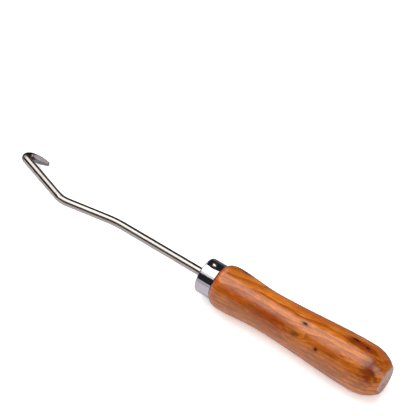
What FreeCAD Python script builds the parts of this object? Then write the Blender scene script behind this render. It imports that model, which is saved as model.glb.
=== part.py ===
import FreeCAD, Part

import math
import os

from FreeCAD import Vector

# Wooden-handled steel hook for pulling and knotting cord, lying at rest on a table.
# All sizes are in millimetres.
#
# The four pieces are drawn about the handle's axis: X runs along it from the
# ferrule's front face (x = 0), the hook reaches towards -X and the butt towards +X.
# The rod is bent in the plane Z = 0 with the barb on the +Y side. At the end the
# whole tool is rolled to its lying position and set down on the plane Z = 0.

# --- round steel rod -------------------------------------------------------
ROD_D = 5.0
TANG_LENGTH = 62.0          # rod inside the ferrule and handle
TANG_CHAMFER = 0.6          # on the driven end of the tang
STRAIGHT_RUN = 62.0         # ferrule face to the first, slight bend
SET_RUN = 34.2              # first bend to second bend
SHANK_RUN = 53.4            # second bend to the corner of the hook bend
BARB_RUN = 19.9             # corner of the hook bend to the blunt tip
SET_BEND_ANGLE = 15.6       # away from the barb's side
SHANK_BEND_ANGLE = 40.4     # back towards the barb's side
HOOK_BEND_ANGLE = 143.6     # folds the barb back beside the shank
SET_BEND_INSIDE_R = 37.5    # radii on the inside of each bend
SHANK_BEND_INSIDE_R = 9.5
HOOK_BEND_INSIDE_R = 0.5

# --- ground taper of the barb ----------------------------------------------
TIP_THICKNESS = 1.4         # between the two broad faces
TIP_WIDTH = 2.5             # between the two narrow faces
GRIND_LEAN = 26.0           # broad faces, from square to the plane of the hook
ROUND_BEFORE_FACES = 0.3    # round bar left between the hook bend and the faces

# --- drawn steel ferrule ---------------------------------------------------
FERRULE_D = 20.9
FERRULE_LENGTH = 9.8
FERRULE_WALL = 0.9
FERRULE_EDGE_R = 1.2        # rounded front rim
ROD_HOLE_CLEARANCE = 0.10   # radial, rod through the ferrule's end wall

# --- turned wooden handle --------------------------------------------------
HANDLE_LENGTH = 108.5       # ferrule's back edge to the flat butt
SHOULDER_D = 24.7           # where the steep shoulder eases into the front bulge
SHOULDER_FROM_EDGE = 2.6
FRONT_BULGE_D = 26.2
FRONT_BULGE_FROM_EDGE = 7.0
WAIST_D = 23.3
WAIST_FROM_EDGE = 31.7
REAR_BULGE_D = 28.5
REAR_BULGE_FROM_BUTT = 15.2
BUTT_FLAT_D = 16.2
BUTT_EDGE_R = 0.8
TENON_CLEARANCE = 0.05      # radial, tenon inside the ferrule
TENON_END_GAP = 0.2         # tenon end to the ferrule's end wall
BORE_CLEARANCE = 0.05       # radial, tang inside the handle

# --- cross pin through ferrule, tenon and tang -------------------------------
PIN_D = 2.0
PIN_HOLE_CLEARANCE = 0.02   # radial
PIN_FROM_FACE = 5.0         # ferrule's front face to the pin's axis
PIN_HEAD_D = 2.8
PIN_HEAD_RISE = 0.7         # crown of the peened head above the ferrule
PIN_ROLL = 15.0             # pin's lean from upright, towards the barb's side

# --- how the tool lies -----------------------------------------------------
HOOK_ROLL = 28.0            # dip of the barb's side below level

X_AXIS = Vector(1, 0, 0)
Y_AXIS = Vector(0, 1, 0)
Z_AXIS = Vector(0, 0, 1)

rod_r = ROD_D / 2
ferrule_r = FERRULE_D / 2
ferrule_inner_edge_r = max(FERRULE_EDGE_R - FERRULE_WALL, FERRULE_WALL / 4)
handle_end = FERRULE_LENGTH + HANDLE_LENGTH


def heading(degrees):
    """Unit vector in the plane of the hook, turned from -X towards +Y."""
    angle = math.radians(degrees)
    return Vector(-math.cos(angle), math.sin(angle), 0)


def bend_points(corner, way_in, way_out, inside_radius):
    """Start, middle and end of the arc that rounds a corner of the rod's centre line."""
    radius = inside_radius + rod_r
    turn = way_in.getAngle(way_out)
    reach = radius * math.tan(turn / 2)
    start = corner - way_in * reach
    end = corner + way_out * reach
    inward = (way_out - way_in).normalize()
    middle = corner + inward * (radius / math.cos(turn / 2) - radius)
    return start, middle, end


def sweep_rod(edges, start, direction):
    """Round bar of the rod's diameter along a chain of edges."""
    section = Part.Wire(Part.makeCircle(rod_r, start, direction))
    return Part.Wire(edges).makePipeShell([section], True, False)


def prism(outline, origin, u_axis, v_axis, depth):
    """Closed outline of (u, v) points, extruded by depth to both sides."""
    points = [origin + u_axis * u + v_axis * v for u, v in outline]
    face = Part.Face(Part.makePolygon(points + points[:1]))
    normal = u_axis.cross(v_axis).normalize()
    face.translate(normal * -depth)
    return face.extrude(normal * (2 * depth))


def ground_barb(barb, corner, way, outward, bend_reach):
    """Grinds the straight end of the rod to a blunt, four-sided taper."""
    room = ROD_D
    faces_start = bend_reach + ROUND_BEFORE_FACES
    lean = math.radians(GRIND_LEAN)
    broad_normal = outward * math.cos(lean) + Z_AXIS * math.sin(lean)
    narrow_normal = way.cross(broad_normal)
    for normal, tip_size in ((broad_normal, TIP_THICKNESS), (narrow_normal, TIP_WIDTH)):
        half_tip = tip_size / 2
        slope = (rod_r - half_tip) / (BARB_RUN - faces_start)
        back = faces_start - (room - rod_r) / slope
        outline = [(back, room), (BARB_RUN, half_tip), (BARB_RUN, -half_tip), (back, -room)]
        barb = barb.common(prism(outline, corner, way, normal, room))
    return barb


def make_hook_rod():
    """One steel rod: tang, straight run, two easy bends, hook bend and ground barb."""
    tang_end = Vector(TANG_LENGTH, 0, 0)
    way_1 = heading(0)
    way_2 = heading(-SET_BEND_ANGLE)
    way_3 = heading(SHANK_BEND_ANGLE - SET_BEND_ANGLE)
    way_4 = heading(SHANK_BEND_ANGLE - SET_BEND_ANGLE + HOOK_BEND_ANGLE)
    corner_1 = way_1 * STRAIGHT_RUN
    corner_2 = corner_1 + way_2 * SET_RUN
    corner_3 = corner_2 + way_3 * SHANK_RUN

    start_1, middle_1, end_1 = bend_points(corner_1, way_1, way_2, SET_BEND_INSIDE_R)
    start_2, middle_2, end_2 = bend_points(corner_2, way_2, way_3, SHANK_BEND_INSIDE_R)
    start_3, middle_3, end_3 = bend_points(corner_3, way_3, way_4, HOOK_BEND_INSIDE_R)

    shank = sweep_rod(
        [
            Part.makeLine(tang_end, start_1),
            Part.Arc(start_1, middle_1, end_1).toShape(),
            Part.makeLine(end_1, start_2),
            Part.Arc(start_2, middle_2, end_2).toShape(),
            Part.makeLine(end_2, start_3),
            Part.Arc(start_3, middle_3, end_3).toShape(),
        ],
        tang_end,
        way_1,
    )
    bend_reach = corner_3.distanceToPoint(end_3)
    barb = Part.makeCylinder(rod_r, BARB_RUN - bend_reach, end_3, way_4)
    outward = Z_AXIS.cross(way_4)
    if outward.dot(way_3) < 0:
        outward = outward * -1
    barb = ground_barb(barb, corner_3, way_4, outward, bend_reach)
    rod = shank.fuse(barb).removeSplitter().Solids[0]

    chamfer_tool = Part.makeCylinder(ROD_D, 2 * TANG_CHAMFER, tang_end - X_AXIS * TANG_CHAMFER, X_AXIS)
    cone = Part.makeCone(rod_r, rod_r - TANG_CHAMFER, TANG_CHAMFER, tang_end - X_AXIS * TANG_CHAMFER, X_AXIS)
    rod = rod.cut(chamfer_tool.cut(cone))
    return rod.cut(pin_hole())


def pin_direction():
    """Axis of the cross pin before the tool is rolled to its lying position."""
    angle = math.radians(PIN_ROLL - HOOK_ROLL)
    return Vector(0, math.sin(angle), math.cos(angle))


def pin_hole():
    """Drilled hole for the cross pin, long enough to pass the whole ferrule."""
    way = pin_direction()
    centre = X_AXIS * PIN_FROM_FACE
    return Part.makeCylinder(PIN_D / 2 + PIN_HOLE_CLEARANCE, 2 * FERRULE_D, centre - way * FERRULE_D, way)


def make_ferrule():
    """Drawn cup with a rounded front rim and a hole for the rod in its end wall."""
    cup = Part.makeCylinder(ferrule_r, FERRULE_LENGTH, Vector(), X_AXIS)
    rim = [edge for edge in cup.Edges if edge.BoundBox.XMax < FERRULE_WALL / 2]
    cup = cup.makeFillet(FERRULE_EDGE_R, rim)
    inside_r = ferrule_r - FERRULE_WALL
    inside = Part.makeCylinder(inside_r, FERRULE_LENGTH, X_AXIS * FERRULE_WALL, X_AXIS)
    inner_rim = [edge for edge in inside.Edges if edge.BoundBox.XMax < FERRULE_WALL * 1.5]
    inside = inside.makeFillet(ferrule_inner_edge_r, inner_rim)
    rod_hole = Part.makeCylinder(rod_r + ROD_HOLE_CLEARANCE, FERRULE_LENGTH, X_AXIS * -FERRULE_WALL, X_AXIS)
    return cup.cut(inside).cut(rod_hole).cut(pin_hole())


def handle_outline():
    """Edges of the handle's half section, from the ferrule round to the butt."""
    edge = Vector(FERRULE_LENGTH, ferrule_r, 0)
    shoulder = Vector(FERRULE_LENGTH + SHOULDER_FROM_EDGE, SHOULDER_D / 2, 0)
    front = Vector(FERRULE_LENGTH + FRONT_BULGE_FROM_EDGE, FRONT_BULGE_D / 2, 0)
    waist = Vector(FERRULE_LENGTH + WAIST_FROM_EDGE, WAIST_D / 2, 0)
    rear = Vector(handle_end - REAR_BULGE_FROM_BUTT, REAR_BULGE_D / 2, 0)
    butt = Vector(handle_end, BUTT_FLAT_D / 2, 0)

    # The wood leaves the ferrule as steeply as it reaches the shoulder, then eases level.
    swell = Part.BSplineCurve()
    swell.interpolate(
        Points=[edge, shoulder, front],
        Tangents=[shoulder - edge, front - edge, X_AXIS],
        TangentFlags=[True, True, True],
    )
    grip = Part.BSplineCurve()
    grip.interpolate(
        Points=[front, waist, rear],
        Tangents=[X_AXIS, X_AXIS, X_AXIS],
        TangentFlags=[True, True, True],
    )
    # The end behind the rear bulge is part of an ellipse, cut off flat at the butt.
    ellipse_x = REAR_BULGE_FROM_BUTT / math.sqrt(1 - (BUTT_FLAT_D / REAR_BULGE_D) ** 2)
    ellipse = Part.Ellipse(Vector(rear.x + ellipse_x, 0, 0), rear, Vector(rear.x, 0, 0))
    start = ellipse.parameter(butt)
    end = ellipse.parameter(rear)
    dome = Part.Arc(ellipse, min(start, end), max(start, end))
    return [swell.toShape(), grip.toShape(), dome.toShape()], edge, butt


def make_handle():
    """Turned handle: shaped grip, tenon for the ferrule, bore for the tang."""
    curves, edge, butt = handle_outline()
    edge_centre = Vector(edge.x, 0, 0)
    butt_centre = Vector(butt.x, 0, 0)
    closing = [
        Part.makeLine(edge_centre, edge),
        Part.makeLine(butt, butt_centre),
        Part.makeLine(butt_centre, edge_centre),
    ]
    section = Part.Face(Part.Wire(Part.__sortEdges__(curves + closing)))
    grip = section.revolve(Vector(), X_AXIS, 360)
    butt_rim = [edge for edge in grip.Edges if edge.BoundBox.XMin > handle_end - BUTT_EDGE_R / 8]
    grip = grip.makeFillet(BUTT_EDGE_R, butt_rim)

    tenon_r = ferrule_r - FERRULE_WALL - TENON_CLEARANCE
    tenon_start = FERRULE_WALL + TENON_END_GAP
    tenon = Part.makeCylinder(tenon_r, FERRULE_LENGTH - tenon_start, X_AXIS * tenon_start, X_AXIS)
    front_edge = [edge for edge in tenon.Edges if edge.BoundBox.XMax < FERRULE_LENGTH / 2]
    tenon = tenon.makeChamfer(ferrule_inner_edge_r + TENON_CLEARANCE, front_edge)

    bore = Part.makeCylinder(rod_r + BORE_CLEARANCE, TANG_LENGTH, Vector(), X_AXIS)
    return grip.fuse(tenon).removeSplitter().cut(bore).cut(pin_hole())


def make_cross_pin():
    """Steel pin whose two ends are peened to low domes seated on the ferrule."""
    pin_r = PIN_D / 2
    head_r = PIN_HEAD_D / 2
    crown = ferrule_r + PIN_HEAD_RISE
    head_edge = crown - PIN_HEAD_RISE
    head_back = crown - 3 * PIN_HEAD_RISE
    dome_r = (head_r ** 2 + PIN_HEAD_RISE ** 2) / (2 * PIN_HEAD_RISE)
    # A point half way round the dome, by the angle that the dome spans.
    span = math.asin(head_r / dome_r) / 2
    dome_x = dome_r * math.sin(span)
    dome_z = crown - dome_r * (1 - math.cos(span))
    upper_dome = Part.Arc(Vector(0, 0, crown), Vector(dome_x, 0, dome_z), Vector(head_r, 0, head_edge))
    lower_dome = Part.Arc(Vector(head_r, 0, -head_edge), Vector(dome_x, 0, -dome_z), Vector(0, 0, -crown))
    side = Part.makePolygon([
        Vector(head_r, 0, head_edge),
        Vector(head_r, 0, head_back),
        Vector(pin_r, 0, head_back),
        Vector(pin_r, 0, -head_back),
        Vector(head_r, 0, -head_back),
        Vector(head_r, 0, -head_edge),
    ])
    axis = Part.makeLine(Vector(0, 0, -crown), Vector(0, 0, crown))
    outline = Part.Wire([upper_dome.toShape()] + side.Edges + [lower_dome.toShape(), axis])
    pin = Part.Face(outline).revolve(Vector(), Z_AXIS, 360)
    pin.rotate(Vector(), X_AXIS, HOOK_ROLL - PIN_ROLL)
    pin.translate(X_AXIS * PIN_FROM_FACE)
    # The heads' skirts are cut away to the ferrule's curved wall, round the shaft.
    way = pin_direction()
    shaft = Part.makeCylinder(pin_r, 2 * FERRULE_D, X_AXIS * PIN_FROM_FACE - way * FERRULE_D, way)
    seat = Part.makeCylinder(ferrule_r, FERRULE_LENGTH, Vector(), X_AXIS).cut(shaft)
    return pin.cut(seat)


def main():
    pieces = {
        "hook_rod": make_hook_rod(),
        "ferrule": make_ferrule(),
        "handle": make_handle(),
        "cross_pin": make_cross_pin(),
    }
    for shape in pieces.values():
        shape.rotate(Vector(), X_AXIS, -HOOK_ROLL)
    # The origin is the middle of the whole tool's footprint on the table.
    box = Part.makeCompound(list(pieces.values())).optimalBoundingBox(False)
    to_table = Vector(-box.Center.x, -box.Center.y, -box.ZMin)
    os.makedirs("parts", exist_ok=True)
    for name, shape in pieces.items():
        shape.translate(to_table)
        solid = shape.Solids[0] if len(shape.Solids) == 1 else shape
        solid.exportStep("parts/" + name + ".step")
        print(name, "solids", len(shape.Solids), "valid", shape.isValid(), "volume", round(shape.Volume, 1))
    print("axis offset", to_table)


main()
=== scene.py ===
import math

import bmesh
import bpy
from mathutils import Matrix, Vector, noise


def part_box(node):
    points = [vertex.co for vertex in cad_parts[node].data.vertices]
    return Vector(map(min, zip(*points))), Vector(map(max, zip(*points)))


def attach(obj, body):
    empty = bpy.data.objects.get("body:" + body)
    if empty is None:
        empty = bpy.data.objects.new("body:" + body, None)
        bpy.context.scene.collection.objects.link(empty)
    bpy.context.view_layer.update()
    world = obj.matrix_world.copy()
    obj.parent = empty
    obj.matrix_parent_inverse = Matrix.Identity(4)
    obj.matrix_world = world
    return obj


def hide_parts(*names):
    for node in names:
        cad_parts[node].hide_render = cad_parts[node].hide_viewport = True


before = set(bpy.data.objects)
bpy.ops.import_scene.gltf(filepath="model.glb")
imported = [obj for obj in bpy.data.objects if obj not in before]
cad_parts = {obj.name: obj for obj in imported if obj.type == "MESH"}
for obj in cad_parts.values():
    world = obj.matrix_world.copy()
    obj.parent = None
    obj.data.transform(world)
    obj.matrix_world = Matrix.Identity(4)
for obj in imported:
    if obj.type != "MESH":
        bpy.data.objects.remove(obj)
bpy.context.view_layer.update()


# ===========================================================================
# Hook rod. One 5 mm round steel bar, drawn, polished and nickel plated, and bent
# cold. Its end is folded back hot and ground to a blunt four-sided barb. The
# straight tang at its other end is driven into the handle.
# ===========================================================================
# Lengths are millimetres, counted along the handle's level axis from the ferrule's
# front face. The hook is on the negative side and the butt on the positive.
MM = 0.001
ferrule_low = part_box("ferrule")[0]
handle_low, handle_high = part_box("handle")
face = Vector((ferrule_low.x, (handle_low.y + handle_high.y) / 2, (handle_low.z + handle_high.z) / 2))

ROD_R = 2.5
ROD_SIDES = 72
TANG_LENGTH = 62.0
TANG_CHAMFER = 0.6
RUNS = (62.0, 34.2, 53.4)               # straight, set and shank, corner to corner
BENDS = (-15.6, 40.4, 143.6)            # degrees after each, + is towards the barb's side
BEND_RADII = (40.0, 12.0, 3.0)          # of the centre line
BARB_RUN = 19.9
TIP_HALF_THICKNESS = 0.7                # between the two broad ground faces
TIP_HALF_WIDTH = 1.25                   # between the two narrow ones
GRIND_LEAN = math.radians(26.0)         # the broad faces, from square to the hook's plane
ROUND_BEFORE_FACES = 0.3
TIP_EASE = 0.25
GROUND_MARGIN = 0.05                    # plating fades out over this much grinding
# Round the fold the plating is rougher, and a dark grey is painted into its colour as painted shade, over
# these lengths.
DULL_BEFORE = 5.0                       # the dulled length on the shank's side of the fold
DULL_AFTER = 10.0                       # and on the barb's side
DULL_CORE = 1.6                         # over 1, so that the middle of it is fully dull
HOOK_ROLL = math.radians(28.0)          # the barb's side dips towards the table
STATION_GAP = 1.5                       # between the mesh's rings on a straight run
BARB_STATION_GAP = 0.3
DEGREES_PER_STATION = 2
FEWEST_BEND_STATIONS = 10
TIP_STATIONS = 6
NEVER_ZERO = 1e-9                       # keeps a division by a cosine safe

hook_side = Vector((0, math.cos(HOOK_ROLL), -math.sin(HOOK_ROLL)))
hook_normal = Vector((0, math.sin(HOOK_ROLL), math.cos(HOOK_ROLL)))


def heading(degrees):
    """Direction in the hook's plane: 0 points from the handle to the hook."""
    angle = math.radians(degrees)
    return Vector((-math.cos(angle), math.sin(angle)))


def left_of(way):
    """Square to a direction, on the barb's side of a rod that runs to the hook."""
    return Vector((way.y, -way.x))


def trace_rod():
    """Stations of the centre line from tang to tip: centre, direction, distance past the fold.

    The distance is counted along the barb from the corner of the fold and is None before it.
    """
    way, corner = heading(0), Vector((0, 0))
    start = Vector((TANG_LENGTH, 0))
    stations = [(start, way, None), (start + way * TANG_CHAMFER, way, None)]
    turned = 0.0
    for run, bend, radius in zip(RUNS, BENDS, BEND_RADII):
        corner = corner + way * run
        end = corner - way * (radius * math.tan(math.radians(abs(bend)) / 2))
        here = stations[-1][0]
        count = round((end - here).length / STATION_GAP)
        stations += [(here.lerp(end, k / count), way, None) for k in range(1, count + 1)]
        side = math.copysign(radius, bend)
        centre = end + left_of(way) * side
        count = max(FEWEST_BEND_STATIONS, round(abs(bend) / DEGREES_PER_STATION))
        for k in range(1, count + 1):
            way = heading(turned + bend * k / count)
            stations.append((centre - left_of(way) * side, way, None))
        apex = stations[-(count // 2)][0]
        turned += bend
    # The barb, with closer stations where its blunt end is eased by a small radius.
    fold_end = (stations[-1][0] - corner).length
    faces_end = BARB_RUN - TIP_EASE
    count = round((faces_end - fold_end) / BARB_STATION_GAP)
    along = [fold_end + (faces_end - fold_end) * k / count for k in range(1, count + 1)]
    along += [BARB_RUN - TIP_EASE * (1 - math.sin(math.pi / 2 * k / TIP_STATIONS))
              for k in range(1, TIP_STATIONS + 1)]
    return stations + [(corner + way * u, way, u) for u in along], fold_end, apex


def ground_radius(u, angle, fold_end):
    """Distance from the barb's centre line to its ground surface."""
    faces_start = fold_end + ROUND_BEFORE_FACES
    taper = (u - faces_start) / (BARB_RUN - faces_start)
    broad = ROD_R + (TIP_HALF_THICKNESS - ROD_R) * taper
    narrow = ROD_R + (TIP_HALF_WIDTH - ROD_R) * taper
    past = max(u - (BARB_RUN - TIP_EASE), 0)
    drop = TIP_EASE - math.sqrt(max(TIP_EASE ** 2 - past ** 2, 0))
    towards_broad = abs(math.cos(angle + GRIND_LEAN)) + NEVER_ZERO
    towards_narrow = abs(math.sin(angle + GRIND_LEAN)) + NEVER_ZERO
    return min(ROD_R - drop, (broad - drop) / towards_broad, (narrow - drop) / towards_narrow)


def skin(bm, rings, uv_rings=None, closed_loop=False):
    """Quads between equal rings of points, with flat caps unless the rings close."""
    uv = bm.loops.layers.uv.new("UVMap") if uv_rings else None
    verts = [[bm.verts.new(p) for p in ring] for ring in rings]
    sides = len(rings[0])
    spans = len(rings) if closed_loop else len(rings) - 1
    for i in range(spans):
        j = (i + 1) % len(rings)
        for k in range(sides):
            n = (k + 1) % sides
            quad = bm.faces.new((verts[i][k], verts[i][n], verts[j][n], verts[j][k]))
            if uv:
                for loop, (ring, step) in zip(quad.loops, ((i, k), (i, k + 1), (j, k + 1), (j, k))):
                    loop[uv].uv = (uv_rings[ring][0], uv_rings[ring][1] * step / sides)
    for polygon in bm.faces:
        polygon.smooth = True
    if not closed_loop:
        bm.faces.new(verts[0])
        bm.faces.new(list(reversed(verts[-1])))


def finish_mesh(name, bm, material):
    """Turns a bmesh into a piece in the scene."""
    bmesh.ops.recalc_face_normals(bm, faces=bm.faces)
    mesh = bpy.data.meshes.new(name)
    bm.to_mesh(mesh)
    bm.free()
    mesh.materials.append(material)
    piece = bpy.data.objects.new(name, mesh)
    bpy.context.scene.collection.objects.link(piece)
    return piece


def linear(code):
    """An sRGB hex colour as linear red, green, blue and alpha."""
    parts = [int(code[i:i + 2], 16) / 255 for i in (1, 3, 5)]
    return [p / 12.92 if p <= 0.04045 else ((p + 0.055) / 1.055) ** 2.4 for p in parts] + [1.0]


def add(tree, kind, settings=None, links=None):
    """Adds a node. Settings and links go by property name, socket name or socket number.

    In a Map Range, sockets 1 to 4 are from low, from high, to low and to high. In a Mix,
    0 is the share of the second, 2 and 3 are the two numbers, and 6 and 7 the two colours.
    """
    node = tree.nodes.new(kind)
    for key, value in (settings or {}).items():
        if key == "stops":
            ramp = node.color_ramp
            while len(ramp.elements) < len(value):
                ramp.elements.new(0.5)
            for element, (position, colour) in zip(ramp.elements, value):
                element.position, element.color = position, colour
        elif isinstance(key, int) or key in node.inputs:
            node.inputs[key].default_value = value
        else:
            setattr(node, key, value)
    for key, source in (links or {}).items():
        tree.links.new(source, node.inputs[key])
    return node


def start_material(name):
    """A new material, its node tree and its Principled shader."""
    material = bpy.data.materials.new(name)
    material.use_nodes = True
    return material, material.node_tree, material.node_tree.nodes["Principled BSDF"]


def nickel_plated_drawn_steel():
    """Bright plating over drawn bar: mirror-like, slightly warm, with fine draw lines
    that blur reflections along the rod, and a matt grey face where it was ground."""
    material, tree, shader = start_material("nickel_plated_drawn_steel")
    link = tree.links.new
    uv = add(tree, "ShaderNodeUVMap", {"uv_map": "UVMap"}).outputs[0]
    # Draw lines are about 0.2 mm apart and tens of millimetres long.
    lines_at = add(tree, "ShaderNodeMapping", {"Scale": (40, 5000, 1)}, {"Vector": uv})
    lines = add(tree, "ShaderNodeTexNoise", {"Scale": 1.0, "Detail": 4.0}, {"Vector": lines_at.outputs[0]})
    # Straightening leaves slow ripples, some 9 mm long.
    ripple_at = add(tree, "ShaderNodeMapping", {"Scale": (110, 300, 1)}, {"Vector": uv})
    ripple = add(tree, "ShaderNodeTexNoise", {"Scale": 1.0, "Detail": 1.0}, {"Vector": ripple_at.outputs[0]})
    # Grinding scratches cross the barb, about 0.3 mm apart.
    scratch_at = add(tree, "ShaderNodeMapping", {"Scale": (3300, 300, 1)}, {"Vector": uv})
    scratch = add(tree, "ShaderNodeTexNoise", {"Scale": 1.0, "Detail": 3.0},
                  {"Vector": scratch_at.outputs[0]})
    ground = add(tree, "ShaderNodeAttribute", {"attribute_name": "ground"}).outputs["Fac"]
    dulled = add(tree, "ShaderNodeAttribute", {"attribute_name": "dulled"}).outputs["Fac"]
    colour = add(tree, "ShaderNodeMix", {"data_type": "RGBA", 6: linear("#D2C9C3"), 7: linear("#B4ABA5")},
                 {0: ripple.outputs[0]})
    # Round the fold the plating is rougher, and its dark grey is painted shade that stands in for the dark
    # reflection there.
    fold_shade = add(tree, "ShaderNodeMix", {"data_type": "RGBA", 7: linear("#47443F")},
                {0: dulled, 6: colour.outputs[2]})
    ground_colour = add(tree, "ShaderNodeMix", {"data_type": "RGBA", 7: linear("#A9A1A6")},
                        {0: ground, 6: fold_shade.outputs[2]})
    polish = add(tree, "ShaderNodeMapRange", {1: 0.35, 2: 0.7, 3: 0.14, 4: 0.24}, {0: lines.outputs[0]})
    burnt_rough = add(tree, "ShaderNodeMix", {"data_type": "FLOAT", 3: 0.42},
                      {0: dulled, 2: polish.outputs[0]})
    rough = add(tree, "ShaderNodeMix", {"data_type": "FLOAT", 3: 0.45},
                {0: ground, 2: burnt_rough.outputs[0]})
    surface = add(tree, "ShaderNodeMix", {"data_type": "FLOAT"},
                  {0: ground, 2: lines.outputs[0], 3: scratch.outputs[0]})
    slow = add(tree, "ShaderNodeBump", {"Distance": 0.00012, "Strength": 0.6}, {"Height": ripple.outputs[0]})
    fine = add(tree, "ShaderNodeBump", {"Distance": 0.00001, "Strength": 0.5},
               {"Height": surface.outputs[0], "Normal": slow.outputs[0]})
    shader.inputs["Metallic"].default_value = 1.0
    link(ground_colour.outputs[2], shader.inputs["Base Color"])
    link(rough.outputs[0], shader.inputs["Roughness"])
    link(fine.outputs[0], shader.inputs["Normal"])
    return material


def build_rod():
    stations, fold_end, apex = trace_rod()
    rings, uv_rings, grounds, dulls = [], [], [], []
    run, previous = 0.0, stations[0][0]
    for i, (centre, way, u) in enumerate(stations):
        run += (centre - previous).length
        previous = centre
        full = ROD_R - TANG_CHAMFER if i == 0 else ROD_R
        # The fold's mask: rougher plating, and painted shade in the colour.
        reach = DULL_BEFORE if u is None else DULL_AFTER
        dull = max(0.0, min(1.0, DULL_CORE * (1 - (centre - apex).length / reach)))
        ring = []
        for k in range(ROD_SIDES):
            angle = 2 * math.pi * k / ROD_SIDES
            radius = full if u is None else ground_radius(u, angle, fold_end)
            point = centre + left_of(way) * (math.cos(angle) * radius)
            across = math.sin(angle) * radius
            on_axis = face + Vector((point.x, 0, 0)) * MM
            ring.append(on_axis + (hook_side * point.y + hook_normal * across) * MM)
            grounds.append(min((full - radius) / GROUND_MARGIN, 1.0))
            dulls.append(dull)
        rings.append(ring)
        uv_rings.append((run * MM, 2 * math.pi * ROD_R * MM))
    bm = bmesh.new()
    skin(bm, rings, uv_rings)
    rod = finish_mesh("hook_rod_bar", bm, nickel_plated_drawn_steel())
    for name, values in (("ground", grounds), ("dulled", dulls)):
        layer = rod.data.attributes.new(name, "FLOAT", "POINT")
        layer.data.foreach_set("value", values)
    return rod


rod = build_rod()
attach(rod, "root")
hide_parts("hook_rod")


# ===========================================================================
# Ferrule. A cup drawn from steel sheet, its front rim rounded by the punch, a
# hole in its end wall for the rod, then chrome plated. It stops the handle's
# end from splitting.
# ===========================================================================
FERRULE_R = 10.45
FERRULE_LENGTH = 9.8
FERRULE_WALL = 0.9
FERRULE_RIM_R = 1.2
FERRULE_SIDES = 160
FERRULE_INSIDE_R = 0.3                  # of the corner inside the end wall
ROD_HOLE_R = 2.6
HOLE_EASE = 0.05
EDGE_EASE = 0.15
WALL_STEPS = 24
END_STEPS = 6
RIM_STEPS = 12
EASE_STEPS = 4
# Peening the cross pin pressed a shallow dish into the wall round each head.
DISH_DEPTH = 0.15
DISH_R = 3.2
DISH_FALL = 2.5                         # how fast the dish dies away towards its edge
PIN_FROM_FACE = 5.0
PIN_LEAN = math.radians(15.0)


def rounded_corner(centre, radius, start, end, count):
    """Points of an arc of a half section, as (along, radius)."""
    points = []
    for k in range(count + 1):
        angle = math.radians(start + (end - start) * k / count)
        points.append((centre[0] + radius * math.cos(angle), centre[1] + radius * math.sin(angle)))
    return points


def turned_rings(profile, sides, waver=None):
    """Rings about the handle's axis for a half section of (along, radius) points."""
    rings = []
    for along, radius in profile:
        ring = []
        for k in range(sides):
            angle = 2 * math.pi * k / sides
            r = radius - (waver(along, radius, angle) if waver else 0)
            ring.append(face + Vector((along, -math.cos(angle) * r, math.sin(angle) * r)) * MM)
        rings.append(ring)
    return rings


def peening_dish(along, radius, angle):
    """How far the wall is pressed in near either head of the cross pin."""
    if radius < FERRULE_R - FERRULE_WALL / 4:
        return 0.0
    round_wall = math.asin(math.sin(angle - math.pi / 2 - PIN_LEAN)) * radius
    away = math.hypot(along - PIN_FROM_FACE, round_wall) / DISH_R
    return DISH_DEPTH * math.exp(-DISH_FALL * away ** 2)


def chrome_plated_sheet_steel():
    """Chrome over drawn sheet: a clear cool mirror, with very faint lengthwise draw
    marks and a slow unevenness that bends the reflections' edges."""
    material, tree, shader = start_material("chrome_plated_sheet_steel")
    link = tree.links.new
    uv = add(tree, "ShaderNodeUVMap", {"uv_map": "UVMap"}).outputs[0]
    # Draw marks some 0.35 mm apart run the length of the cup.
    marks_at = add(tree, "ShaderNodeMapping", {"Scale": (120, 2900, 1)}, {"Vector": uv})
    marks = add(tree, "ShaderNodeTexNoise", {"Scale": 1.0, "Detail": 3.0}, {"Vector": marks_at.outputs[0]})
    # The plated sheet is uneven over 4 to 5 mm.
    uneven_at = add(tree, "ShaderNodeMapping", {"Scale": (220, 220, 1)}, {"Vector": uv})
    uneven = add(tree, "ShaderNodeTexNoise", {"Scale": 1.0, "Detail": 1.0}, {"Vector": uneven_at.outputs[0]})
    colour = add(tree, "ShaderNodeMix", {"data_type": "RGBA", 6: linear("#E0DBE2"), 7: linear("#C8C3CC")},
                 {0: marks.outputs[0]})
    # The front rim is painted darker: painted shade standing in for the dark reflection in its rounding.
    place = add(tree, "ShaderNodeTexCoord").outputs["Object"]
    split = add(tree, "ShaderNodeSeparateXYZ", {}, {0: place})
    rim_shade = add(tree, "ShaderNodeMapRange",
                 {"interpolation_type": "SMOOTHSTEP",
                  1: face.x + 0.25 * MM, 2: face.x + 0.75 * MM, 3: 0.85, 4: 0.0},
                 {0: split.outputs[0]})
    rim_shaded = add(tree, "ShaderNodeMix", {"data_type": "RGBA", 7: linear("#4A464C")},
               {0: rim_shade.outputs[0], 6: colour.outputs[2]})
    polish = add(tree, "ShaderNodeMapRange", {1: 0.4, 2: 0.75, 3: 0.04, 4: 0.12}, {0: marks.outputs[0]})
    slow = add(tree, "ShaderNodeBump", {"Distance": 0.0001, "Strength": 0.45}, {"Height": uneven.outputs[0]})
    fine = add(tree, "ShaderNodeBump", {"Distance": 0.00002, "Strength": 0.4},
               {"Height": marks.outputs[0], "Normal": slow.outputs[0]})
    shader.inputs["Metallic"].default_value = 1.0
    link(rim_shaded.outputs[2], shader.inputs["Base Color"])
    link(polish.outputs[0], shader.inputs["Roughness"])
    link(fine.outputs[0], shader.inputs["Normal"])
    return material


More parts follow.
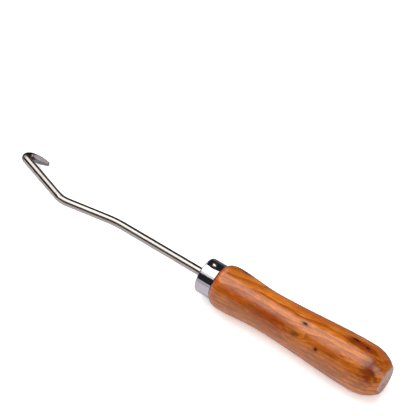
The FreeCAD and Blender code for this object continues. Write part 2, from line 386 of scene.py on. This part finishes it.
def build_ferrule():
    inner_r = FERRULE_R - FERRULE_WALL
    wall_end = FERRULE_LENGTH - EDGE_EASE
    flat_r = FERRULE_R - FERRULE_RIM_R
    rim = rounded_corner((FERRULE_RIM_R, flat_r), FERRULE_RIM_R, 90, 180, RIM_STEPS)
    back = rounded_corner((wall_end, FERRULE_R - EDGE_EASE), EDGE_EASE, 0, 90, EASE_STEPS)
    lip = rounded_corner((EDGE_EASE, ROD_HOLE_R + EDGE_EASE), EDGE_EASE, 180, 270, EASE_STEPS)
    wall = [(wall_end - (wall_end - FERRULE_RIM_R) * k / WALL_STEPS, FERRULE_R) for k in range(1, WALL_STEPS)]
    end_face = [(0, flat_r - (flat_r - ROD_HOLE_R) * k / END_STEPS) for k in range(1, END_STEPS)]
    inside = rounded_corner((FERRULE_WALL + FERRULE_INSIDE_R, inner_r - FERRULE_INSIDE_R),
                            FERRULE_INSIDE_R, 180, 90, EASE_STEPS)
    hole = [(FERRULE_WALL - HOLE_EASE, ROD_HOLE_R), (FERRULE_WALL, ROD_HOLE_R + HOLE_EASE)]
    profile = back + wall + rim + end_face + lip + hole + inside + [(FERRULE_LENGTH, inner_r)]
    run, uv_rings = 0.0, []
    for i, point in enumerate(profile):
        if i:
            run += math.dist(point, profile[i - 1])
        uv_rings.append((run * MM, 2 * math.pi * FERRULE_R * MM))
    bm = bmesh.new()
    skin(bm, turned_rings(profile, FERRULE_SIDES, peening_dish), uv_rings, closed_loop=True)
    return finish_mesh("ferrule_cup", bm, chrome_plated_sheet_steel())


ferrule = build_ferrule()
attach(ferrule, "root")
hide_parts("ferrule")


# ===========================================================================
# Cross pin. A 2 mm steel pin driven through ferrule, tenon and tang, with both
# ends hammered over to low bright domes.
# ===========================================================================
PIN_R = 1.0
PIN_HEAD_R = 1.4
PIN_HEAD_RISE = 0.7
PIN_SIDES = 48
PIN_DOME_STEPS = 10
PIN_SHANK_RINGS = (8.0, 4.0)            # heights of the shank's rings above the middle


def peened_steel():
    """Hammered pin end: bright metal with small facets left by the hammer."""
    material, tree, shader = start_material("peened_steel")
    link = tree.links.new
    place = add(tree, "ShaderNodeTexCoord").outputs["Object"]
    # Hammer facets are about 0.7 mm across.
    facets = add(tree, "ShaderNodeTexVoronoi", {"Scale": 1400.0}, {"Vector": place})
    colour = add(tree, "ShaderNodeMix", {"data_type": "RGBA", 6: linear("#D9D7D6"), 7: linear("#BDBAB8")},
                 {0: facets.outputs["Distance"]})
    dents = add(tree, "ShaderNodeBump", {"Distance": 0.00005, "Strength": 0.3},
                {"Height": facets.outputs["Distance"]})
    shader.inputs["Metallic"].default_value = 1.0
    shader.inputs["Roughness"].default_value = 0.16
    link(colour.outputs[2], shader.inputs["Base Color"])
    link(dents.outputs[0], shader.inputs["Normal"])
    return material


def build_pin():
    """Rings from one crown to the other; the domes' skirts end on the ferrule's wall."""
    way = Vector((0, math.sin(PIN_LEAN), math.cos(PIN_LEAN)))
    round_a, round_b = Vector((1, 0, 0)), Vector((0, math.cos(PIN_LEAN), -math.sin(PIN_LEAN)))
    crown = FERRULE_R + PIN_HEAD_RISE
    dome_r = (PIN_HEAD_R ** 2 + PIN_HEAD_RISE ** 2) / (2 * PIN_HEAD_RISE)
    span = math.asin(PIN_HEAD_R / dome_r)
    dome = []
    for k in range(1, PIN_DOME_STEPS + 1):
        lean = span * k / PIN_DOME_STEPS
        dome.append((dome_r * math.sin(lean), crown - dome_r * (1 - math.cos(lean))))
    half = dome + [(PIN_HEAD_R, None), (PIN_R, None)] + [(PIN_R, height) for height in PIN_SHANK_RINGS]
    rings = []
    for sign, part in ((1, half), (-1, list(reversed(half)))):
        for radius, height in part:
            ring = []
            for k in range(PIN_SIDES):
                angle = 2 * math.pi * k / PIN_SIDES
                sideways = radius * math.sin(angle)
                # A skirt point with no height of its own sits in the round ferrule's dish.
                wall = math.sqrt((FERRULE_R - DISH_DEPTH) ** 2 - sideways ** 2)
                rise = wall if height is None else height
                ring.append(face + Vector((PIN_FROM_FACE, 0, 0)) * MM
                            + (round_a * (radius * math.cos(angle)) + round_b * sideways
                               + way * (sign * rise)) * MM)
            rings.append(ring)
    bm = bmesh.new()
    skin(bm, rings)
    return finish_mesh("cross_pin_steel", bm, peened_steel())


pin = build_pin()
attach(pin, "root")
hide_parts("cross_pin")


# ===========================================================================
# Handle. Turned in one piece from reddish hardwood with a few dark pin knots,
# sanded by hand and dipped in clear gloss lacquer. Its tenon fills the ferrule
# and a bore down its axis holds the tang.
# ===========================================================================
HANDLE_END = (handle_high.x - ferrule_low.x) / MM
# Places on the outline, as distance along and radius. A pull is how far and which way a
# curve leaves its end.
SHOULDER = (12.4, 12.35)
SHOULDER_PULL = (3.8, 1.4)
FRONT_BULGE = (16.8, 13.1)
FRONT_BULGE_PULL = (5.0, 0)
WAIST = (41.5, 11.65)
REAR_BULGE = (HANDLE_END - 15.2, 14.25)
BUTT_FLAT_R = 8.1
BUTT_EDGE_LENGTH = 0.72                 # the eased edge between the dome and the flat end
BUTT_EDGE_DROP = 0.9                    # its flat starts this far inside the flat's radius
TENON_R = 9.5
TENON_START = 1.1
TENON_CHAMFER = 0.4
TENON_CHAMFER_LENGTH = 0.35
CORNER_EASE = 0.1
BORE_R = 2.55
HANDLE_SIDES = 192
GRIP_STEPS = 170
BUTT_EDGE_STEPS = 6
BUTT_FLAT_STEPS = 8
SHOULDER_STEPS = 10
FRONT_STEPS = 8
# Sanding by hand left hollows of up to a tenth of a millimetre, some 16 mm long.
SANDING_DEPTH = 0.10
SANDING_LENGTH = 16
SANDING_ROUND = 1.3
SANDING_STARTS_OVER = 5
PIT_FALL = 2.0                          # how fast a knot's pit dies away towards its edge
RING_SPACING = 3.0

# Dark pin knots: along the handle, degrees round from the near side upwards,
# half length along the grain, half width, depth of the pit. The last two are underneath.
PIN_KNOTS = (
    (67.6, 81.7, 2.2, 0.75, 0.16),
    (79.8, 40.5, 1.2, 0.8, 0.08),
    (95.6, 111.0, 3.4, 0.85, 0.14),
    (103.6, 105.8, 1.8, 0.7, 0.12),
    (52.0, 250.0, 2.4, 0.8, 0.12),
    (88.0, 305.0, 1.6, 0.7, 0.10),
)
# A grown-over branch: the rings close round it like an eye.
BRANCH_EYE = (64.7, 45.4)
BRANCH_EYE_R = 12.6                     # of its middle, from the handle's axis
# Patches of colour: along the handle, degrees round, half length, half width, colour,
# strength. Some are stain and lacquer that soaked in more, or less; the ones marked below
# are painted shade and painted reflection.
STAIN_AND_PAINTED_LIGHT_PATCHES = (
    # Painted shade: these two darken the side just under the coat's shine.
    (47.0, 44.0, 21.0, 6.6, "#8C3800", 0.95),
    (23.0, 50.0, 14.0, 5.0, "#9E4404", 0.8),
    (99.0, 104.0, 13.0, 3.4, "#6C2204", 0.85),
    # Painted shade: these two darken the dome beside the butt's flat end and the side under the shine.
    (111.0, 62.0, 6.0, 9.0, "#6A2204", 0.85),
    (88.0, 52.0, 16.0, 3.4, "#9A4606", 0.7),
    (22.0, 134.0, 6.0, 2.2, "#4E2208", 0.8),
    (*BRANCH_EYE, 6.0, 3.8, "#B86E2C", 0.6),
    (*BRANCH_EYE, 3.6, 2.2, "#5E300A", 0.75),
    # Painted reflection: these two make the low near side paler, as the white table mirrored in the coat.
    (30.0, 12.0, 34.0, 8.0, "#9C643C", 0.5),
    (86.0, 14.0, 34.0, 8.0, "#9C643C", 0.5),
    (72.0, 128.0, 14.0, 3.0, "#C05A10", 0.5),
)


def handle_radius(along):
    """Radius of the grip at a distance along it, behind the front bulge."""
    if along <= WAIST[0]:
        low, high = FRONT_BULGE, WAIST
    elif along <= REAR_BULGE[0]:
        low, high = WAIST, REAR_BULGE
    else:
        dome_length = (HANDLE_END - REAR_BULGE[0]) / math.sqrt(1 - (BUTT_FLAT_R / REAR_BULGE[1]) ** 2)
        return REAR_BULGE[1] * math.sqrt(1 - ((along - REAR_BULGE[0]) / dome_length) ** 2)
    t = (along - low[0]) / (high[0] - low[0])
    return low[1] + (high[1] - low[1]) * t * t * (3 - 2 * t)


def curve_between(low, low_pull, high, high_pull, count):
    """Points of a smooth curve that leaves each end along its own pull."""
    points = []
    for k in range(count):
        t = k / count
        from_low, from_high = 2 * t ** 3 - 3 * t ** 2 + 1, 3 * t ** 2 - 2 * t ** 3
        pull_low, pull_high = t ** 3 - 2 * t ** 2 + t, t ** 3 - t ** 2
        points.append(tuple(from_low * low[i] + pull_low * low_pull[i] + from_high * high[i]
                            + pull_high * high_pull[i] for i in (0, 1)))
    return points


def shoulder_outline():
    """The wood leaves the ferrule steeply, then eases level at the front bulge."""
    edge = (FERRULE_LENGTH, FERRULE_R)
    steep = (SHOULDER[0] - edge[0], SHOULDER[1] - edge[1])
    return (curve_between(edge, steep, SHOULDER, SHOULDER_PULL, SHOULDER_STEPS)
            + curve_between(SHOULDER, SHOULDER_PULL, FRONT_BULGE, FRONT_BULGE_PULL, FRONT_STEPS))


def surface_offset(along, radius, angle):
    """How far hand sanding and the pits of the knots take the surface inwards."""
    if along < FERRULE_LENGTH or radius < BUTT_FLAT_R:
        return 0.0
    place = Vector((along / SANDING_LENGTH, math.cos(angle) * SANDING_ROUND, math.sin(angle) * SANDING_ROUND))
    fade = min(1.0, (along - FERRULE_LENGTH) / SANDING_STARTS_OVER)
    offset = fade * SANDING_DEPTH * (0.5 + 0.5 * noise.noise(place, noise_basis="PERLIN_ORIGINAL"))
    for knot_x, knot_angle, half_length, half_width, depth in PIN_KNOTS:
        turn = (math.degrees(angle) - knot_angle + 180) % 360 - 180
        away = ((along - knot_x) / half_length) ** 2 + (math.radians(turn) * radius / half_width) ** 2
        offset += depth * math.exp(-PIT_FALL * away)
    return offset


def spot_distance(tree, mm_at, wobble, pull, along, degrees, half_length, half_width):
    """How far a place is from a spot on the grip, 1 at the spot's edge, pulled by a noise."""
    angle, radius = math.radians(degrees), handle_radius(along)
    centre = Vector((along, -math.cos(angle) * radius, math.sin(angle) * radius))
    off = add(tree, "ShaderNodeVectorMath", {"operation": "SUBTRACT", 1: centre}, {0: mm_at})
    shape = (1 / half_length, 1 / half_width, 1 / half_width)
    scaled = add(tree, "ShaderNodeVectorMath", {"operation": "MULTIPLY", 1: shape}, {0: off.outputs[0]})
    pulled = add(tree, "ShaderNodeVectorMath", {"operation": "MULTIPLY_ADD", 1: (pull, pull, pull)},
                 {0: wobble.outputs["Color"], 2: scaled.outputs[0]})
    centred = add(tree, "ShaderNodeVectorMath", {"operation": "SUBTRACT", 1: (pull / 2, pull / 2, pull / 2)},
                  {0: pulled.outputs[0]})
    far = add(tree, "ShaderNodeVectorMath", {"operation": "LENGTH"}, {0: centred.outputs[0]})
    return far.outputs["Value"]


def lacquered_turned_hardwood():
    """Reddish hardwood under clear gloss lacquer: warm orange rings cut lengthwise,
    fine pale and dark fibres, pin knots, and a broad soft shine from the coat."""
    material, tree, shader = start_material("lacquered_turned_hardwood")
    link = tree.links.new
    place = add(tree, "ShaderNodeTexCoord").outputs["Object"]
    # Millimetres from the ferrule's face, along the grain and across it.
    local = add(tree, "ShaderNodeVectorMath", {"operation": "SUBTRACT", 1: face}, {0: place})
    grain = add(tree, "ShaderNodeVectorMath", {"operation": "SCALE", "Scale": 1000.0}, {0: local.outputs[0]})
    mm_at = grain.outputs[0]

    # Growth rings, RING_SPACING apart, about a heart that lies outside the blank and leans to it.
    heart = add(tree, "ShaderNodeMapping",
                {"Location": (0, 31, 26), "Rotation": (0, math.radians(2.2), math.radians(-2.6))},
                {"Vector": mm_at})
    wander_at = add(tree, "ShaderNodeMapping", {"Scale": (0.02, 0.07, 0.07)}, {"Vector": mm_at})
    wander = add(tree, "ShaderNodeTexNoise", {"Scale": 1.0, "Detail": 2.0}, {"Vector": wander_at.outputs[0]})
    wander_mm = add(tree, "ShaderNodeVectorMath", {"operation": "SCALE", "Scale": 9.0},
                    {0: wander.outputs["Color"]})
    ring_at = add(tree, "ShaderNodeVectorMath", {"operation": "ADD"},
                  {0: heart.outputs[0], 1: wander_mm.outputs[0]})
    # The eye of a grown-over branch pushes the rings outwards round it.
    eye_angle = math.radians(BRANCH_EYE[1])
    eye_mm = Vector((BRANCH_EYE[0], -math.cos(eye_angle) * BRANCH_EYE_R, math.sin(eye_angle) * BRANCH_EYE_R))
    eye_off = add(tree, "ShaderNodeVectorMath", {"operation": "SUBTRACT", 1: eye_mm}, {0: mm_at})
    eye_flat = add(tree, "ShaderNodeVectorMath", {"operation": "MULTIPLY", 1: (0.16, 0.3, 0.3)},
                   {0: eye_off.outputs[0]})
    eye_far = add(tree, "ShaderNodeVectorMath", {"operation": "LENGTH"}, {0: eye_flat.outputs[0]})
    eye_push = add(tree, "ShaderNodeMapRange",
                   {"interpolation_type": "SMOOTHSTEP", 1: 0.0, 2: 1.6, 3: 5.5, 4: 0.0},
                   {0: eye_far.outputs["Value"]})
    ring_split = add(tree, "ShaderNodeSeparateXYZ", {}, {0: ring_at.outputs[0]})
    ring_y = add(tree, "ShaderNodeMath", {"operation": "MULTIPLY"},
                 {0: ring_split.outputs[1], 1: ring_split.outputs[1]})
    ring_z = add(tree, "ShaderNodeMath", {"operation": "MULTIPLY"},
                 {0: ring_split.outputs[2], 1: ring_split.outputs[2]})
    ring_sum = add(tree, "ShaderNodeMath", {"operation": "ADD"}, {0: ring_y.outputs[0], 1: ring_z.outputs[0]})
    ring_r = add(tree, "ShaderNodeMath", {"operation": "SQRT"}, {0: ring_sum.outputs[0]})
    ring_pushed = add(tree, "ShaderNodeMath", {"operation": "ADD"},
                      {0: ring_r.outputs[0], 1: eye_push.outputs[0]})
    ring_count = add(tree, "ShaderNodeMath", {"operation": "DIVIDE", 1: RING_SPACING},
                     {0: ring_pushed.outputs[0]})
    ring_part = add(tree, "ShaderNodeMath", {"operation": "FRACT"}, {0: ring_count.outputs[0]})
    rings = add(tree, "ShaderNodeValToRGB",
                {"stops": ((0.0, linear("#CC7624")), (0.45, linear("#C26A1C")), (0.82, linear("#A85612")),
                           (0.93, linear("#9C4A0C")), (1.0, linear("#CC7624")))},
                {0: ring_part.outputs[0]})

    # Slow drifts of colour along the blank, 20 to 40 mm long.
    drift_at = add(tree, "ShaderNodeMapping", {"Scale": (0.03, 0.09, 0.09)}, {"Vector": mm_at})
    drift = add(tree, "ShaderNodeTexNoise", {"Scale": 1.0, "Detail": 3.0}, {"Vector": drift_at.outputs[0]})
    drift_part = add(tree, "ShaderNodeMapRange", {1: 0.42, 2: 0.68, 3: 0.0, 4: 0.6}, {0: drift.outputs[0]})
    drifted = add(tree, "ShaderNodeMix", {"data_type": "RGBA", 7: linear("#9E4608")},
                  {0: drift_part.outputs[0], 6: rings.outputs[0]})
    colour = drifted.outputs[2]

    # A patch's edge and a knot's are both pulled about by the grain.
    mottle_at = add(tree, "ShaderNodeMapping", {"Scale": (0.16, 0.55, 0.55)}, {"Vector": mm_at})
    mottle = add(tree, "ShaderNodeTexNoise", {"Scale": 1.0, "Detail": 4.0, "Roughness": 0.6},
                 {"Vector": mottle_at.outputs[0]})
    for along, degrees, half_length, half_width, code, strength in STAIN_AND_PAINTED_LIGHT_PATCHES:
        far = spot_distance(tree, mm_at, mottle, 1.6, along, degrees, half_length, half_width)
        soft = add(tree, "ShaderNodeMapRange",
                   {"interpolation_type": "SMOOTHSTEP", 1: 0.3, 2: 1.25, 3: strength, 4: 0.0}, {0: far})
        # Stain, painted shade and painted reflection all go into the colour here.
        stain_and_painted_light = add(tree, "ShaderNodeMix", {"data_type": "RGBA", 7: linear(code)},
                      {0: soft.outputs[0], 6: colour})
        colour = stain_and_painted_light.outputs[2]

    # Figure some 1.5 mm wide and 5 mm long, and fibres 0.7 mm wide and 8 mm long, shade the colour.
    fibre_at = add(tree, "ShaderNodeMapping", {"Scale": (0.12, 1.5, 1.5)}, {"Vector": mm_at})
    fibre = add(tree, "ShaderNodeTexNoise", {"Scale": 1.0, "Detail": 4.0, "Roughness": 0.65},
                {"Vector": fibre_at.outputs[0]})
    figure_shade = add(tree, "ShaderNodeMapRange", {1: 0.3, 2: 0.7, 3: 0.76, 4: 1.22}, {0: mottle.outputs[0]})
    fibre_shade = add(tree, "ShaderNodeMapRange", {1: 0.3, 2: 0.7, 3: 0.72, 4: 1.24}, {0: fibre.outputs[0]})
    shade = add(tree, "ShaderNodeMath", {"operation": "MULTIPLY"},
                {0: figure_shade.outputs[0], 1: fibre_shade.outputs[0]})
    shaded = add(tree, "ShaderNodeVectorMath", {"operation": "SCALE"}, {0: colour, "Scale": shade.outputs[0]})
    # Pores: short dark dashes, drawn 0.3 mm wide so that they show.
    pore_at = add(tree, "ShaderNodeMapping", {"Scale": (0.35, 3.2, 3.2)}, {"Vector": mm_at})
    pore = add(tree, "ShaderNodeTexNoise", {"Scale": 1.0, "Detail": 1.0}, {"Vector": pore_at.outputs[0]})
    pore_part = add(tree, "ShaderNodeMapRange", {1: 0.64, 2: 0.72, 3: 0.0, 4: 0.6}, {0: pore.outputs[0]})
    wood = add(tree, "ShaderNodeMix", {"data_type": "RGBA", 7: linear("#582206")},
               {0: pore_part.outputs[0], 6: shaded.outputs[0]})
    colour = wood.outputs[2]

    # Each pin knot has a near-black heart in a soft brown halo, drawn out along the grain.
    # Its heart is a dry pit that the lacquer didn't fill.
    coat = add(tree, "ShaderNodeValue")
    coat.outputs[0].default_value = 1.0
    for along, degrees, half_length, half_width, _ in PIN_KNOTS:
        far = spot_distance(tree, mm_at, fibre, 0.9, along, degrees, half_length, half_width)
        halo = add(tree, "ShaderNodeMapRange",
                   {"interpolation_type": "SMOOTHSTEP", 1: 0.7, 2: 2.4, 3: 0.7, 4: 0.0}, {0: far})
        core = add(tree, "ShaderNodeMapRange",
                   {"interpolation_type": "SMOOTHSTEP", 1: 0.5, 2: 1.05, 3: 0.95, 4: 0.0}, {0: far})
        ringed = add(tree, "ShaderNodeMix", {"data_type": "RGBA", 7: linear("#742C04")},
                     {0: halo.outputs[0], 6: colour})
        cored = add(tree, "ShaderNodeMix", {"data_type": "RGBA", 7: linear("#180904")},
                    {0: core.outputs[0], 6: ringed.outputs[2]})
        colour = cored.outputs[2]
        coat = add(tree, "ShaderNodeMath", {"operation": "SUBTRACT", "use_clamp": True},
                   {0: coat.outputs[0], 1: core.outputs[0]})

    # A dark line at the ferrule is painted shade in the joint, with a redder, fully soaked zone behind it.
    split = add(tree, "ShaderNodeSeparateXYZ", {}, {0: mm_at})
    soak = add(tree, "ShaderNodeMapRange",
               {"interpolation_type": "SMOOTHSTEP",
                1: FERRULE_LENGTH + 0.5, 2: FERRULE_LENGTH + 3.6, 3: 0.75, 4: 0.0},
               {0: split.outputs[0]})
    soaked = add(tree, "ShaderNodeMix", {"data_type": "RGBA", 7: linear("#B84408")},
                 {0: soak.outputs[0], 6: colour})
    line = add(tree, "ShaderNodeMapRange",
               {"interpolation_type": "SMOOTHSTEP",
                1: FERRULE_LENGTH + 0.5, 2: FERRULE_LENGTH + 1.5, 3: 0.92, 4: 0.0},
               {0: split.outputs[0]})
    joint_shaded = add(tree, "ShaderNodeMix", {"data_type": "RGBA", 7: linear("#2A1004")},
                {0: line.outputs[0], 6: soaked.outputs[2]})
    # The end grain of the butt took less lacquer: it is paler and greyer, with streaks across.
    end_grain = add(tree, "ShaderNodeMapRange",
                    {1: HANDLE_END - 0.7, 2: HANDLE_END - 0.25, 3: 0.0, 4: 0.8}, {0: split.outputs[0]})
    streak_at = add(tree, "ShaderNodeMapping", {"Scale": (0.2, 0.35, 1.6)}, {"Vector": mm_at})
    streak = add(tree, "ShaderNodeTexNoise", {"Scale": 1.0, "Detail": 3.0}, {"Vector": streak_at.outputs[0]})
    streak_part = add(tree, "ShaderNodeMapRange", {1: 0.35, 2: 0.65}, {0: streak.outputs[0]})
    end_colour = add(tree, "ShaderNodeMix",
                     {"data_type": "RGBA", 6: linear("#6E3E2C"), 7: linear("#C89A82")},
                     {0: streak_part.outputs[0]})
    ended = add(tree, "ShaderNodeMix", {"data_type": "RGBA"},
                {0: end_grain.outputs[0], 6: joint_shaded.outputs[2], 7: end_colour.outputs[2]})

    # Fibres stand a few hundredths proud under the coat; the coat itself flows out
    # but keeps a slow orange-peel unevenness over 3 to 8 mm.
    fibre_bump = add(tree, "ShaderNodeBump", {"Distance": 0.00006, "Strength": 0.5},
                     {"Height": fibre.outputs[0]})
    peel_at = add(tree, "ShaderNodeMapping", {"Scale": (0.13, 0.3, 0.3)}, {"Vector": mm_at})
    peel = add(tree, "ShaderNodeTexNoise", {"Scale": 1.0, "Detail": 3.0}, {"Vector": peel_at.outputs[0]})
    telegraph = add(tree, "ShaderNodeMix", {"data_type": "FLOAT", 0: 0.3},
                    {2: peel.outputs[0], 3: mottle.outputs[0]})
    coat_bump = add(tree, "ShaderNodeBump", {"Distance": 0.0006, "Strength": 0.6},
                    {"Height": telegraph.outputs[0]})
    dry = add(tree, "ShaderNodeMapRange", {1: 0.3, 2: 0.7, 3: 0.42, 4: 0.6}, {0: fibre.outputs[0]})
    shader.inputs["Coat Roughness"].default_value = 0.12
    shader.inputs["Coat IOR"].default_value = 1.6
    shader.inputs["Specular IOR Level"].default_value = 0.05
    link(ended.outputs[2], shader.inputs["Base Color"])
    link(dry.outputs[0], shader.inputs["Roughness"])
    link(fibre_bump.outputs[0], shader.inputs["Normal"])
    link(coat.outputs[0], shader.inputs["Coat Weight"])
    link(coat_bump.outputs[0], shader.inputs["Coat Normal"])
    return material


def build_handle():
    bore = [(TANG_LENGTH, BORE_R), (TANG_LENGTH / 2, BORE_R), (TENON_START + CORNER_EASE, BORE_R)]
    tenon = [(TENON_START, BORE_R + CORNER_EASE), (TENON_START, TENON_R - TENON_CHAMFER),
             (TENON_START + TENON_CHAMFER_LENGTH, TENON_R), (FERRULE_LENGTH - CORNER_EASE, TENON_R),
             (FERRULE_LENGTH, TENON_R + CORNER_EASE)]
    swell = shoulder_outline()
    grip_end = HANDLE_END - BUTT_EDGE_LENGTH
    grip = []
    for k in range(GRIP_STEPS + 1):
        along = FRONT_BULGE[0] + (grip_end - FRONT_BULGE[0]) * k / GRIP_STEPS
        grip.append((along, handle_radius(along)))
    # The turned edge of the butt is eased into the flat end.
    edge_top = grip[-1][1]
    edge = []
    for k in range(1, BUTT_EDGE_STEPS + 1):
        t = k / BUTT_EDGE_STEPS
        edge.append((grip_end + (HANDLE_END - grip_end) * math.sin(t * math.pi / 2),
                     edge_top - (edge_top - BUTT_FLAT_R + BUTT_EDGE_DROP) * (1 - math.cos(t * math.pi / 2))))
    flat_r = edge[-1][1]
    flat = [(HANDLE_END, flat_r * (1 - k / BUTT_FLAT_STEPS)) for k in range(1, BUTT_FLAT_STEPS)]
    bm = bmesh.new()
    profile = bore + tenon + swell + grip + edge + flat
    skin(bm, turned_rings(profile, HANDLE_SIDES, surface_offset))
    return finish_mesh("handle_turning", bm, lacquered_turned_hardwood())


handle = build_handle()
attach(handle, "root")
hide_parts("handle")


# ===========================================================================
# Table: a wide sheet of smooth white card under the tool. Bright metal mirrors what
# lies round it, so on the near side it sees a pale grey card and behind the tool a dark
# one. Both lie a hair above the white card, and only reflections see them.
# ===========================================================================
CARD_HALF = 3.0
CARD_LIFT = 0.0002
CARDS_MEET = 0.03
TABLE_GLOW = 0.48


def smooth_card(name, colour):
    """Uncoated card: flat colour with a very faint tooth."""
    material, tree, shader = start_material(name)
    place = add(tree, "ShaderNodeTexCoord").outputs["Object"]
    tooth = add(tree, "ShaderNodeTexNoise", {"Scale": 900.0, "Detail": 2.0}, {"Vector": place})
    bump = add(tree, "ShaderNodeBump", {"Distance": 0.00005, "Strength": 0.2}, {"Height": tooth.outputs[0]})
    shader.inputs["Base Color"].default_value = linear(colour)
    shader.inputs["Roughness"].default_value = 0.9
    shader.inputs["Specular IOR Level"].default_value = 0.1
    tree.links.new(bump.outputs[0], shader.inputs["Normal"])
    return material


def lay_card(name, material, near_y, far_y, height):
    """A level sheet from one depth to another, kept out of the object."""
    bm = bmesh.new()
    corners = [(-CARD_HALF, near_y), (CARD_HALF, near_y), (CARD_HALF, far_y), (-CARD_HALF, far_y)]
    bm.faces.new([bm.verts.new((x, y, height)) for x, y in corners])
    sheet = finish_mesh(name, bm, material)
    return sheet


table = lay_card("table_card", smooth_card("smooth_white_card", "#F1F1F1"), -CARD_HALF, CARD_HALF, 0.0)
# The white card gives off some light of its own, which all but clears the shadows on it.
table_shader = table.active_material.node_tree.nodes["Principled BSDF"]
table_shader.inputs["Emission Color"].default_value = (1.0, 1.0, 1.0, 1.0)
table_shader.inputs["Emission Strength"].default_value = TABLE_GLOW
grey_card = lay_card("grey_card", smooth_card("smooth_grey_card", "#C6C3C6"),
                     -CARD_HALF, CARDS_MEET, CARD_LIFT)
black_card = lay_card("black_card", smooth_card("smooth_black_card", "#56565A"),
                      CARDS_MEET, CARD_HALF, CARD_LIFT)
for sheet in (grey_card, black_card):
    sheet.visible_camera = False
    sheet.visible_diffuse = False
    sheet.visible_shadow = False


# ===========================================================================
# Light: two overlapping softboxes overhead, one at each end, a low reflector on the
# near side, a fill that metal doesn't mirror, and a dim room. The bright metal shows
# them as white, black and grey bands.
# ===========================================================================
def softbox(name, centre, aim, width, depth, radiance):
    """A flat soft light of a given brightness, hidden from the camera itself."""
    data = bpy.data.lights.new(name, "AREA")
    data.shape, data.size, data.size_y = "RECTANGLE", width, depth
    data.energy = radiance * math.pi * width * depth
    lamp = bpy.data.objects.new(name, data)
    lamp.location = centre
    lamp.rotation_euler = (Vector(centre) - Vector(aim)).to_track_quat("Z", "Y").to_euler()
    lamp.visible_camera = False
    bpy.context.scene.collection.objects.link(lamp)
    return lamp


# The overhead box is brightest in the middle, so it has a dim rim and a bright core.
softbox("overhead_softbox", (-0.42, -0.045, 1.0), (-0.42, -0.045, 0), 1.74, 1.23, 0.95)
softbox("overhead_core", (-0.42, 0.08, 1.02), (-0.42, 0.08, 0), 1.74, 0.94, 1.15)
# The shank slopes down to the left, and mirrors a second box low on that side.
softbox("left_softbox", (-1.35, 0.66, 0.86), (-0.1, 0.01, 0.01), 1.3, 0.6, 1.6)
# A third faces the butt and its rounded end.
softbox("right_softbox", (1.02, -0.05, 0.92), (0.12, 0, 0.02), 0.72, 1.0, 1.7)
softbox("near_reflector", (-0.6, -1.5, 0.24), (-0.6, 0, 0.24), 3.0, 0.46, 0.5)
# A wide fill lights the wood from above without adding reflections to the metal.
fill = softbox("fill", (-0.2, -0.04, 1.1), (-0.2, -0.04, 0), 1.3, 1.35, 1.45)
fill.visible_glossy = False

world = bpy.data.worlds.new("dim_studio")
bpy.context.scene.world = world
world.use_nodes = True
room = world.node_tree
room.nodes["Background"].inputs["Strength"].default_value = 1.0
room.nodes["Background"].inputs["Color"].default_value = linear("#2A2A2C")
pale_wall = add(room, "ShaderNodeBackground", {"Color": linear("#F1F1F1"), "Strength": 1.0})
seen = add(room, "ShaderNodeLightPath")
chosen = add(room, "ShaderNodeMixShader", {},
             {0: seen.outputs["Is Camera Ray"], 1: room.nodes["Background"].outputs[0],
              2: pale_wall.outputs[0]})
room.links.new(chosen.outputs[0], room.nodes["World Output"].inputs["Surface"])
bpy.context.scene.view_settings.view_transform = "Standard"


# ===========================================================================
# Camera: a long lens from above the near side, at the butt's end.
# ===========================================================================
AZIMUTH = math.radians(35.62)
ELEVATION = math.radians(52.93)
DISTANCE = 0.945
AIM = Vector((-0.0148, 0.0377, face.z))
SENSOR_WIDTH = 36.0
FOCAL_LENGTH = 142.8

back = Vector((math.sin(AZIMUTH) * math.cos(ELEVATION), -math.cos(AZIMUTH) * math.cos(ELEVATION),
               math.sin(ELEVATION)))
lens = bpy.data.cameras.new("camera")
lens.sensor_width = SENSOR_WIDTH
lens.lens = FOCAL_LENGTH
camera = bpy.data.objects.new("camera", lens)
camera.location = AIM + back * DISTANCE
camera.rotation_euler = back.to_track_quat("Z", "Y").to_euler()
bpy.context.scene.collection.objects.link(camera)
bpy.context.scene.camera = camera
